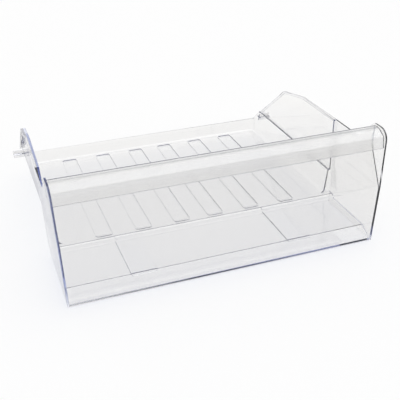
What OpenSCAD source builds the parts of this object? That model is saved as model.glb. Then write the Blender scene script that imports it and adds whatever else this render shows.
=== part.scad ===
/* [Overall size] */
// Width over the side walls at the foot of the front
front_w = 437.4; // [400:1:500]
// Depth from the front face to the top edge of the back wall
depth = 386; // [365:1:440]
// Height of the two end cheeks of the front
cheek_h = 167.5; // [166:0.5:190]
// Thickness of the walls and the floor
wall = 2.5; // [1.8:0.1:3]
// Draft of the side walls, in degrees from upright
side_draft = 2; // [1:0.25:3]

/* [Front panel and handle] */
// Height at which the front starts to lean back behind the handle
crease_z = 86; // [70:1:100]
// Height at which the leaning stretch ends
lean_top_z = 139; // [128:1:145]
// How far back the leaning stretch ends
lean_y = 32; // [26:1:36]
// Height of the top of the handle
handle_z = 165.5; // [158:0.5:166]
// Depth at which the flat top of the handle ends
handle_flat_y = 21; // [17:1:24]
// Depth of the bend where the handle's skirt starts to hang down
skirt_y = 8; // [7:0.5:10]
// Height of that bend
skirt_bend_z = 157.5; // [152:0.5:157.5]
// Height of the lower edge of the skirt
skirt_z = 142; // [132:1:148]
// Depth of the lower edge of the skirt
skirt_foot_y = 5; // [3:0.5:6.5]
// Radius of the front corner of a cheek
cheek_r = 16; // [6:1:20]
// Depth at which a cheek has come down to the top edge of the side wall
cheek_foot_y = 69; // [55:1:90]

/* [Front floor] */
// Height of the floor in the wide front part
front_floor_z = 14.5; // [10:0.5:16]
// Depth at which that floor starts to slope down to the foot of the front panel
slope_y = 24.5; // [18:0.5:40]
// Depth at which the wide front part ends, at its foot
front_end_y = 118; // [108:1:124]
// How much further back it ends at the top of the walls
front_end_lean = 13; // [2:1:20]
// Height of the two raised pads on this floor
pad_h = 1; // [0.6:0.1:2]
// Depth at which the pads start
pad_y = 20.5; // [16:0.5:30]

/* [Rear tub] */
// Height of the floor in the rear part
rear_floor_z = 19.5; // [18:0.5:26]
// Half of the width between the lower rear walls at the floor
tub_floor_half = 205.5; // [190:0.5:208]
// Half of the width between the lower rear walls at the ledge
tub_ledge_half = 211.5; // [209:0.5:213]
// Height of the top of the ledge
ledge_z = 57.5; // [52:0.5:66]
// Width of the ledge
ledge_w = 2.7; // [2:0.1:4]
// Radius along the foot of the lower walls
tub_r = 6; // [3:0.5:9]
// Height of the low back wall
back_z = 37.5; // [32:0.5:44]
// How far the back wall leans back
back_lean = 8.5; // [3:0.5:12]

/* [Side walls and ears] */
// Height of the top edge of the side walls
side_z = 135; // [126:1:145]
// Depth at which the top edge starts to fall towards the back
ear_y = 228; // [200:1:250]
// Depth at which the top edge meets the sloping rear edge
ear_end_y = 290; // [270:1:310]
// Height of that corner
ear_end_z = 122.5; // [105:0.5:124]
// Depth at which the sloping rear edge reaches the ledge
ear_foot_y = 368; // [350:1:370]
// Step of the side walls where the rear part starts, at their top
rear_inset = 3.1; // [2.8:0.1:5]
// Loss of half width along the rear part
rear_taper = 4; // [1:0.1:6]
// Thickness of the rim along the ears
rim_t = 3; // [1.5:0.1:4]

/* [Channels in the rear floor] */
// Number of channels on each side of the middle
side_channels = 3; // [1:1:3]
// Width of one channel
channel_w = 22.2; // [12:0.1:30]
// Distance from one channel to the next on the same side
channel_pitch = 57.8; // [45:0.1:58]
// Distance between the two channels next to the middle
channel_mid_pitch = 52.2; // [40:0.1:56]
// Depth of a channel
channel_d = 1.2; // [0.6:0.1:1.6]
// Depth at which the channels start
channel_y = 119; // [117:1:150]
// Corner radius of the channels and pads
channel_r = 3; // [2:0.5:8]

/* [Stub pins] */
// Diameter over the ribs of a stub pin
pin_d = 11.6; // [8:0.1:13]
// How far a pin stands out from the lower wall
pin_len = 19; // [10:0.5:26]
// Thickness of the crossed ribs
pin_rib = 2.4; // [1.6:0.1:3.5]
// Depth at which the pins stand
pin_y = 366.5; // [330:0.5:368]
// Height of the pins
pin_z = 46.5; // [42:0.5:47]

/* [Hidden] */

// Steps in each rounded corner of an outline
arc_steps = 8;
// How far a cut runs past what it opens
past = 60;
// How deep one part of the moulding reaches into the next
merge = wall / 2;
// Sideways gain of the side walls for each unit of height
draft = tan(side_draft);
// How far the front edge of a cheek leans back over its height
cheek_lean = 4.3;
// Small radius on the inner corners of the handle
handle_r = 2;
// Radius of the outer bends of the handle
handle_bend_r = 16;
// Radius of the crease, and of the bend above it
crease_r = 5;
lean_r = 12;
// Radius at the back of a cheek and at the end of its slope
cheek_back_r = 9;
cheek_foot_r = 14;
// Inner radius of the bend at the top of the slope behind the panel
slope_r = 2;
// Length of the ramp from the front floor to the rear floor, and the radius of its bends
ramp_run = 5;
ramp_r = 4;
// Distance from the rear end of the channels to the back wall
channel_end_gap = 6;
// Width of the strip between two channels, and so of a pad
strip_w = channel_pitch - channel_w;
// Depth at which the wide front part ends at the top of the walls
front_end_top = front_end_y + front_end_lean;
// Rear face of the upright stretch behind the handle
panel_back = lean_y + wall;
// Half of the outer width of the upper rear walls at the ledge
ledge_half = tub_ledge_half + ledge_w + wall;
// Depth at which the ramp between the two floors ends
ramp_end = front_end_y - wall - ramp_run;
// Underside of the rear floor
under_z = rear_floor_z - wall;

// Half of the outer width of the front part at height z
function front_half(z) = front_w / 2 + z * draft;

// Depth at which the wide front part ends, at height z
function front_end(z) = front_end_y + front_end_lean * z / side_z;

// Loss of half width at depth y, for the top of the rear part
function taper(y) = rear_taper * (y - front_end_top) / (depth - front_end_top);

// Half of the outer width of the upper rear walls, at depth y and height z
function rear_half(y, z) =
    ledge_half
    + (front_half(side_z) - rear_inset - taper(y) - ledge_half)
    * (z - ledge_z) / (side_z - ledge_z);

// Half of the width between the lower rear walls at height z
function tub_half(z) =
    tub_floor_half
    + (tub_ledge_half - tub_floor_half) * (z - rear_floor_z) / (ledge_z - rear_floor_z);

// Depth of the back wall's outer face at height z
function back_face(z) =
    depth - back_lean * (back_z - z) / (back_z - rear_floor_z + wall);

// Depth of the side walls' rear edge between the back wall and the ledge
function rear_edge(z) =
    ear_foot_y + (depth - ear_foot_y) * (ledge_z - z) / (ledge_z - back_z);

// Underside of the front floor seen from the side: up from the foot of the panel, level, up
// the ramp and on to the step
function floor_path() = [
    [merge, 0, 0],
    [slope_y, front_floor_z - wall, slope_r],
    [ramp_end - ramp_run, front_floor_z - wall, ramp_r],
    [ramp_end, under_z, ramp_r],
    [front_end(rear_floor_z), under_z, 0]
];

function unit(v) = v / norm(v);
function right_of(v) = [v.y, -v.x];
function cross_z(u, v) = u.x * v.y - u.y * v.x;
function flat(c) = [c.x, c.y];

// The corner at b, between its neighbours a and c, rounded with radius r
function rounded(a, b, c, r) =
    r <= 0 ? [b] :
    let (
        u = unit(a - b),
        v = unit(c - b),
        half = acos(u * v) / 2,
        centre = b + unit(u + v) * r / sin(half),
        p = b + u * r / tan(half) - centre,
        q = b + v * r / tan(half) - centre,
        start = atan2(p.y, p.x),
        turn = atan2(cross_z(p, q), p * q)
    )
    [for (i = [0:arc_steps])
        centre + r * [cos(start + turn * i / arc_steps), sin(start + turn * i / arc_steps)]];

// A closed outline from corners, each given as [first, second, radius]
function outline(c) =
    [for (i = [0:len(c) - 1])
        each rounded(
            flat(c[(i + len(c) - 1) % len(c)]),
            flat(c[i]),
            flat(c[(i + 1) % len(c)]),
            c[i][2])];

// The same corners moved to the right of the path by d, with their radii to suit
function moved(c, d) =
    [for (i = [0:len(c) - 1])
        let (
            into = unit(flat(c[max(i, 1)]) - flat(c[max(i, 1) - 1])),
            out = unit(flat(c[min(i + 1, len(c) - 1)]) - flat(c[min(i, len(c) - 2)])),
            turn = sign(cross_z(into, out)),
            place = flat(c[i]) + (right_of(into) + right_of(out)) * d / (1 + into * out)
        )
        [place.x, place.y, c[i][2] <= 0 ? 0 : max(c[i][2] + turn * d, 0.1)]];

// A strip of one thickness along a path, on the path's right
function strip(c, d) =
    let (other = moved(c, d))
    outline(concat(c, [for (i = [len(c) - 1:-1:0]) other[i]]));

// A side view, given as depth and height, carried across the width
module across(points, half_w) {
    rotate([90, 0, 90])
        linear_extrude(2 * half_w, center = true)
            polygon(points);
}

// A front view, given as width and height, carried from depth y0 to depth y1
module along(points, y0, y1) {
    translate([0, y1, 0])
        rotate([90, 0, 0])
            linear_extrude(y1 - y0)
                polygon(points);
}

// The space between the side walls of the front part, set in from their outer faces
module front_space(set_in, z0, z1) {
    along([
        [-front_half(z0) + set_in, z0],
        [front_half(z0) - set_in, z0],
        [front_half(z1) - set_in, z1],
        [-front_half(z1) + set_in, z1]
    ], -past, depth);
}

// The two side walls of the front part, with the cheeks at their front ends
module front_sides() {
    difference() {
        intersection() {
            front_space(0, 0, cheek_h);
            across(outline([
                [0, 0, 0],
                [0, crease_z, 0],
                [cheek_lean, cheek_h, cheek_r],
                [panel_back, cheek_h, cheek_back_r],
                [cheek_foot_y, side_z, cheek_foot_r],
                [front_end_top, side_z, 0],
                [front_end_y, 0, 0]
            ]), front_w);
        }
        front_space(wall, -past, cheek_h + past);
    }
}

// The front panel with its grip recess and the overhanging handle, one bent strip
module front_panel() {
    under = handle_z - wall;
    intersection() {
        front_space(merge, -past, cheek_h + past);
        across(strip([
            [0, 0, 0],
            [0, crease_z, crease_r],
            [lean_y, lean_top_z, lean_r],
            [lean_y, under, handle_r],
            [handle_flat_y + merge, under, handle_bend_r - wall],
            [skirt_y + wall, skirt_bend_z - merge, handle_r],
            [skirt_foot_y + wall, skirt_z, 0]
        ], wall), front_w);
    }
}

// The front floor, sloped down to the foot of the panel and ramped up to the rear floor
module front_floor() {
    intersection() {
        front_space(merge, 0, cheek_h);
        across(strip(floor_path(), -wall), front_w);
    }
}

// The upright step where the side walls close in for the rear part
module step_wall() {
    intersection() {
        front_space(merge, under_z, side_z);
        across(strip([
            [front_end_y, 0, 0],
            [front_end_top, side_z, 0]
        ], -wall), front_w);
    }
}

// The lower rear tub as a closed block
module tub_block() {
    foot = tub_half(under_z) + wall;
    head = tub_ledge_half + wall;
    intersection() {
        along(outline([
            [-foot, under_z, tub_r + wall],
            [foot, under_z, tub_r + wall],
            [head, ledge_z, 0],
            [-head, ledge_z, 0]
        ]), 0, depth + past);
        across(outline([
            [front_end(under_z) - merge, under_z, 0],
            [back_face(under_z), under_z, tub_r + wall],
            [depth, back_z, 0],
            [ear_foot_y, ledge_z, 0],
            [front_end(ledge_z) - merge, ledge_z, 0]
        ]), front_w);
    }
}

// The room inside the tub, open above the low back wall
module tub_room() {
    top = ledge_z + wall;
    intersection() {
        along(outline([
            [-tub_floor_half, rear_floor_z, tub_r],
            [tub_floor_half, rear_floor_z, tub_r],
            [tub_half(top), top, 0],
            [-tub_half(top), top, 0]
        ]), 0, depth + 2 * past);
        across(outline([
            [ramp_end, rear_floor_z, 0],
            [back_face(rear_floor_z) - wall, rear_floor_z, tub_r],
            [depth - wall, back_z, 0],
            [depth + past, back_z, 0],
            [depth + past, top, 0],
            [ramp_end, top, 0]
        ]), front_w);
    }
}

// The space between the upper rear walls, set in from their outer faces
module upper_space(set_in, z0, z1, y0, y1) {
    function side(y, z) = rear_half(y, z) - set_in;
    polyhedron(
        points = [for (y = [y0, y1], p = [[-1, z0], [1, z0], [1, z1], [-1, z1]])
            [p.x * side(y, p.y), y, p.y]],
        faces = [[3, 2, 1, 0], [4, 5, 6, 7], [1, 5, 4, 0], [2, 6, 5, 1], [3, 7, 6, 2], [0, 4, 7, 3]]
    );
}

// The outline of the upper rear walls seen from the side
module upper_outline() {
    across(outline([
        [front_end(ledge_z) - merge, ledge_z - wall, 0],
        [rear_edge(ledge_z - wall), ledge_z - wall, 0],
        [ear_foot_y, ledge_z, 0],
        [ear_end_y, ear_end_z, 0],
        [ear_y, side_z, 0],
        [front_end_top - merge, side_z, 0]
    ]), front_w);
}

// The rim that stands out along the top and the rear edge of both ears
module ear_rims() {
    y0 = front_end_top - merge;
    half0 = front_half(side_z) - taper(y0);
    half1 = front_half(side_z) - taper(depth);
    intersection() {
        across(strip([
            [y0, side_z, 0],
            [ear_y, side_z, 0],
            [ear_end_y, ear_end_z, 0],
            [ear_foot_y, ledge_z, 0],
            [rear_edge(ledge_z - wall), ledge_z - wall, 0]
        ], rim_t), front_w);
        linear_extrude(cheek_h)
            polygon([[-half0, y0], [half0, y0], [half1, depth], [-half1, depth]]);
    }
}

// A flat plate with rounded corners, centred on x
module plate(x, w, y0, y1, z0, z1, r) {
    translate([x, 0, z0])
        linear_extrude(z1 - z0)
            polygon(outline([
                [-w / 2, y0, r],
                [w / 2, y0, r],
                [w / 2, y1, r],
                [-w / 2, y1, r]
            ]));
}

// The channels of the rear floor, between two heights and grown all round
module channels(grow, z0, z1) {
    y1 = back_face(rear_floor_z) - wall - channel_end_gap;
    for (side = [-1, 1], i = [0:side_channels - 1])
        plate(side * (channel_mid_pitch / 2 + i * channel_pitch), channel_w + 2 * grow,
            channel_y - grow, y1 + grow, z0, z1, channel_r + grow);
}

// The two raised pads of the front floor. Each is in line with a strip between two channels,
// starts on the slope, follows the floor and ends at the top of the ramp.
module pads() {
    x = (channel_mid_pitch + (2 * side_channels - 3) * channel_pitch) / 2;
    intersection() {
        for (side = [-1, 1])
            plate(side * x, strip_w, pad_y, channel_y, 0, side_z, channel_r);
        across(strip(moved(floor_path(), -merge), -merge - pad_h), front_w);
    }
}

// A stub pin with crossed ribs on each lower wall
module pins() {
    root = tub_half(pin_z) + merge;
    tip = tub_half(pin_z) + wall + pin_len;
    for (side = [-1, 1])
        translate([side * root, pin_y, pin_z])
            rotate([0, side * 90, 0])
                intersection() {
                    cylinder(h = tip - root, d = pin_d, $fn = 64);
                    union() {
                        translate([-pin_rib / 2, -pin_d, 0])
                            cube([pin_rib, 2 * pin_d, tip - root]);
                        translate([-pin_d, -pin_rib / 2, 0])
                            cube([2 * pin_d, pin_rib, tip - root]);
                    }
                }
}

// The drawer, moulded in one piece
module drawer() {
    color([0.86, 0.9, 0.93, 0.6])
        translate([0, -depth / 2, 0]) {
            difference() {
                union() {
                    front_sides();
                    front_panel();
                    front_floor();
                    pads();
                    step_wall();
                    tub_block();
                    intersection() {
                        upper_space(0, ledge_z - wall, side_z, ramp_end, depth);
                        upper_outline();
                    }
                    ear_rims();
                    channels(merge, under_z - channel_d, under_z + merge);
                }
                tub_room();
                upper_space(wall, ledge_z, cheek_h, ramp_end, depth + past);
                channels(0, rear_floor_z - channel_d, rear_floor_z + merge);
            }
            pins();
        }
}

drawer();
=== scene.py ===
import math

import bpy
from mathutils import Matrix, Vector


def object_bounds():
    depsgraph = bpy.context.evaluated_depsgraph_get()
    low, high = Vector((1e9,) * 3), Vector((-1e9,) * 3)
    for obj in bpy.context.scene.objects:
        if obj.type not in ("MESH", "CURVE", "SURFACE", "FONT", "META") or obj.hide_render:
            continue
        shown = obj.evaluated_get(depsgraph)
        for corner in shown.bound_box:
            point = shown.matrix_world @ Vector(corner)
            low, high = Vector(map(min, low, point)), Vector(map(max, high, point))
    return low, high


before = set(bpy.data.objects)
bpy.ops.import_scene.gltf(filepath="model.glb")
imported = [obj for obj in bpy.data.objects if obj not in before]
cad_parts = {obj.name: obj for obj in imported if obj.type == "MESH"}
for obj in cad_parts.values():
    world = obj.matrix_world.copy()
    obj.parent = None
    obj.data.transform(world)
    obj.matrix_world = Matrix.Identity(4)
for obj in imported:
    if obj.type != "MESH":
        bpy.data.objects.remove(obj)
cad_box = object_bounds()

# The drawer
# One clear polystyrene moulding, about 2.5 mm thick all over. Its faces are pale and its edges
# dark, and the handle and the wall behind it have a fine frosting that hides what is behind.
grip_height = 0.0285
grip_depth = 0.038
grip_foot_z = cad_box[1][2] - grip_height
grip_back_y = cad_box[0][1] + grip_depth
grip_blend = 0.001
plastic_ior = 1.59
face_tone = (0.955, 0.947, 0.927, 1.0)
grip_tone = (0.98, 0.975, 0.957, 1.0)
edge_tone = (0.55, 0.62, 0.86, 1.0)
edge_density = 20.0
shadow_tone = (0.985, 0.985, 0.985, 1.0)
trapped_tone = (0.13, 0.14, 0.23, 1.0)
least_roughness = 0.021
most_roughness = 0.056
frosting = 0.12
ripples_per_metre = 38.0
ripple_detail = 1.0
ripple_strength = 0.3
ripple_height = 0.000008
most_reflections = 2.5
most_bounces = 7.5
weld_distance = 0.000005
flat_angle = 0.5
corner_angle = 40
corner_cut = 0.00025


def calculate(nodes, links, operation, first, second):
    """One sum on two values, each a plain number or the output of another node."""
    node = nodes.new("ShaderNodeMath")
    node.operation = operation
    for socket, given in zip(node.inputs, (first, second)):
        if isinstance(given, float):
            socket.default_value = given
        else:
            links.new(given, socket)
    return node.outputs["Value"]


def rise(nodes, links, value, start, end, low, high):
    """A straight change from low, where the value is at its start, to high at its end."""
    node = nodes.new("ShaderNodeMapRange")
    node.inputs["From Min"].default_value = start
    node.inputs["From Max"].default_value = end
    node.inputs["To Min"].default_value = low
    node.inputs["To Max"].default_value = high
    links.new(value, node.inputs["Value"])
    return node.outputs["Result"]


def pass_through(nodes, tone):
    """A surface that light crosses in a straight line and leaves with the given tone."""
    node = nodes.new("ShaderNodeBsdfTransparent")
    node.inputs["Color"].default_value = tone
    return node.outputs["BSDF"]


def choose(nodes, links, share, without, with_it):
    """Two shaders mixed by a share between none and one."""
    node = nodes.new("ShaderNodeMixShader")
    links.new(share, node.inputs["Fac"])
    links.new(without, node.inputs[1])
    links.new(with_it, node.inputs[2])
    return node.outputs["Shader"]


def clear_plastic():
    """Refracting shell with a tinted inside. Shallow flow ripples from moulding bend the light a
    little, and the roughness wanders with them and rises on the grip. Light on its way to the
    floor passes straight through, because no caustics are traced, and so does light that has
    been thrown back and forth inside a wall, which comes out dim as it does at a real edge."""
    mat = bpy.data.materials.new("clear_plastic")
    mat.use_nodes = True
    nodes = mat.node_tree.nodes
    links = mat.node_tree.links
    nodes.clear()
    place = nodes.new("ShaderNodeTexCoord").outputs["Object"]
    ripple = nodes.new("ShaderNodeTexNoise")
    ripple.inputs["Scale"].default_value = ripples_per_metre
    ripple.inputs["Detail"].default_value = ripple_detail
    links.new(place, ripple.inputs["Vector"])
    parts = nodes.new("ShaderNodeSeparateXYZ")
    links.new(place, parts.inputs["Vector"])
    above = rise(nodes, links, parts.outputs["Z"], grip_foot_z, grip_foot_z + grip_blend, 0.0, 1.0)
    ahead = rise(nodes, links, parts.outputs["Y"], grip_back_y, grip_back_y + grip_blend, 1.0, 0.0)
    grip = calculate(nodes, links, "MULTIPLY", above, ahead)

    shell = nodes.new("ShaderNodeBsdfPrincipled")
    shell.inputs["Transmission Weight"].default_value = 1.0
    shell.inputs["IOR"].default_value = plastic_ior
    haze = rise(
        nodes, links, ripple.outputs["Fac"], 0.0, 1.0, least_roughness, most_roughness)
    frost = calculate(nodes, links, "MULTIPLY", grip, frosting)
    links.new(calculate(nodes, links, "ADD", haze, frost), shell.inputs["Roughness"])
    tone = nodes.new("ShaderNodeMix")
    tone.data_type = "RGBA"
    tone.inputs[6].default_value = face_tone
    tone.inputs[7].default_value = grip_tone
    links.new(grip, tone.inputs[0])
    links.new(tone.outputs[2], shell.inputs["Base Color"])
    bump = nodes.new("ShaderNodeBump")
    bump.inputs["Strength"].default_value = ripple_strength
    bump.inputs["Distance"].default_value = ripple_height
    links.new(ripple.outputs["Fac"], bump.inputs["Height"])
    links.new(bump.outputs["Normal"], shell.inputs["Normal"])

    path = nodes.new("ShaderNodeLightPath").outputs
    to_floor = calculate(nodes, links, "MAXIMUM", path["Is Shadow Ray"], path["Is Diffuse Ray"])
    trapped = calculate(
        nodes, links, "MAXIMUM",
        calculate(nodes, links, "GREATER_THAN", path["Glossy Depth"], most_reflections),
        calculate(nodes, links, "GREATER_THAN", path["Ray Depth"], most_bounces))
    seen = choose(nodes, links, trapped, shell.outputs["BSDF"], pass_through(nodes, trapped_tone))
    surface = choose(nodes, links, to_floor, seen, pass_through(nodes, shadow_tone))
    inside = nodes.new("ShaderNodeVolumeAbsorption")
    inside.inputs["Color"].default_value = edge_tone
    inside.inputs["Density"].default_value = edge_density
    out = nodes.new("ShaderNodeOutputMaterial")
    links.new(surface, out.inputs["Surface"])
    links.new(inside.outputs["Volume"], out.inputs["Volume"])
    return mat


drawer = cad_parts["drawer"]
for slot in drawer.material_slots:
    slot.material = clear_plastic()
weld = drawer.modifiers.new("weld", "WELD")
weld.merge_threshold = weld_distance
flat_faces = drawer.modifiers.new("flat_faces", "DECIMATE")
flat_faces.decimate_type = "DISSOLVE"
flat_faces.angle_limit = math.radians(flat_angle)
corners = drawer.modifiers.new("corners", "BEVEL")
corners.offset_type = "ABSOLUTE"
corners.width = corner_cut
corners.segments = 1
corners.limit_method = "ANGLE"
corners.angle_limit = math.radians(corner_angle)
corners.use_clamp_overlap = False
drawer.modifiers.new("even_shading", "WEIGHTED_NORMAL")

# Floor
# A wide white sweep that the drawer stands on, much wider than the picture. It isn't part of
# the object.
floor_half = 8.0
floor_colour = (0.98, 0.98, 0.98, 1.0)
floor_mesh = bpy.data.meshes.new("floor")
floor_mesh.from_pydata(
    [(-floor_half, -floor_half, 0), (floor_half, -floor_half, 0),
     (floor_half, floor_half, 0), (-floor_half, floor_half, 0)],
    [], [(0, 1, 2, 3)])
floor = bpy.data.objects.new("floor", floor_mesh)
bpy.context.scene.collection.objects.link(floor)
paper = bpy.data.materials.new("paper")
paper.use_nodes = True
paper.node_tree.nodes["Principled BSDF"].inputs["Base Color"].default_value = floor_colour
paper.node_tree.nodes["Principled BSDF"].inputs["Roughness"].default_value = 1.0
floor_mesh.materials.append(paper)

# Light
# A pale room all round and one large soft lamp overhead, a little to the right. The lamp shows
# in the sloping front of the handle and in the slope at the foot of the panel.
room_colour = (1.0, 1.0, 1.0, 1.0)
room_level = 0.8
lamp_level = 0.7
lamp_turn = 18
lamp_width = 50
world = bpy.data.worlds.new("room")
world.use_nodes = True
world.node_tree.nodes["Background"].inputs["Color"].default_value = room_colour
world.node_tree.nodes["Background"].inputs["Strength"].default_value = room_level
bpy.context.scene.world = world
lamp_data = bpy.data.lights.new("softbox", "SUN")
lamp_data.angle = math.radians(lamp_width)
lamp_data.energy = lamp_level
lamp = bpy.data.objects.new("softbox", lamp_data)
lamp.rotation_euler = (0.0, math.radians(lamp_turn), 0.0)
bpy.context.scene.collection.objects.link(lamp)

# Camera
# Stands to the left in front of the drawer and looks down on it by thirty degrees. Its place,
# turn and lens were solved on the straight edges of the drawer in the photograph.
sensor_width = 36.0
lens = 61.27
camera_place = (-0.30057, -0.87311, 0.53572)
camera_tilt = 60.19
camera_turn = -20.70
camera_data = bpy.data.cameras.new("camera")
camera_data.sensor_fit = "HORIZONTAL"
camera_data.sensor_width = sensor_width
camera_data.lens = lens
camera = bpy.data.objects.new("camera", camera_data)
camera.location = camera_place
camera.rotation_euler = (math.radians(camera_tilt), 0.0, math.radians(camera_turn))
bpy.context.scene.collection.objects.link(camera)
bpy.context.scene.camera = camera
bpy.context.scene.view_settings.view_transform = "Standard"
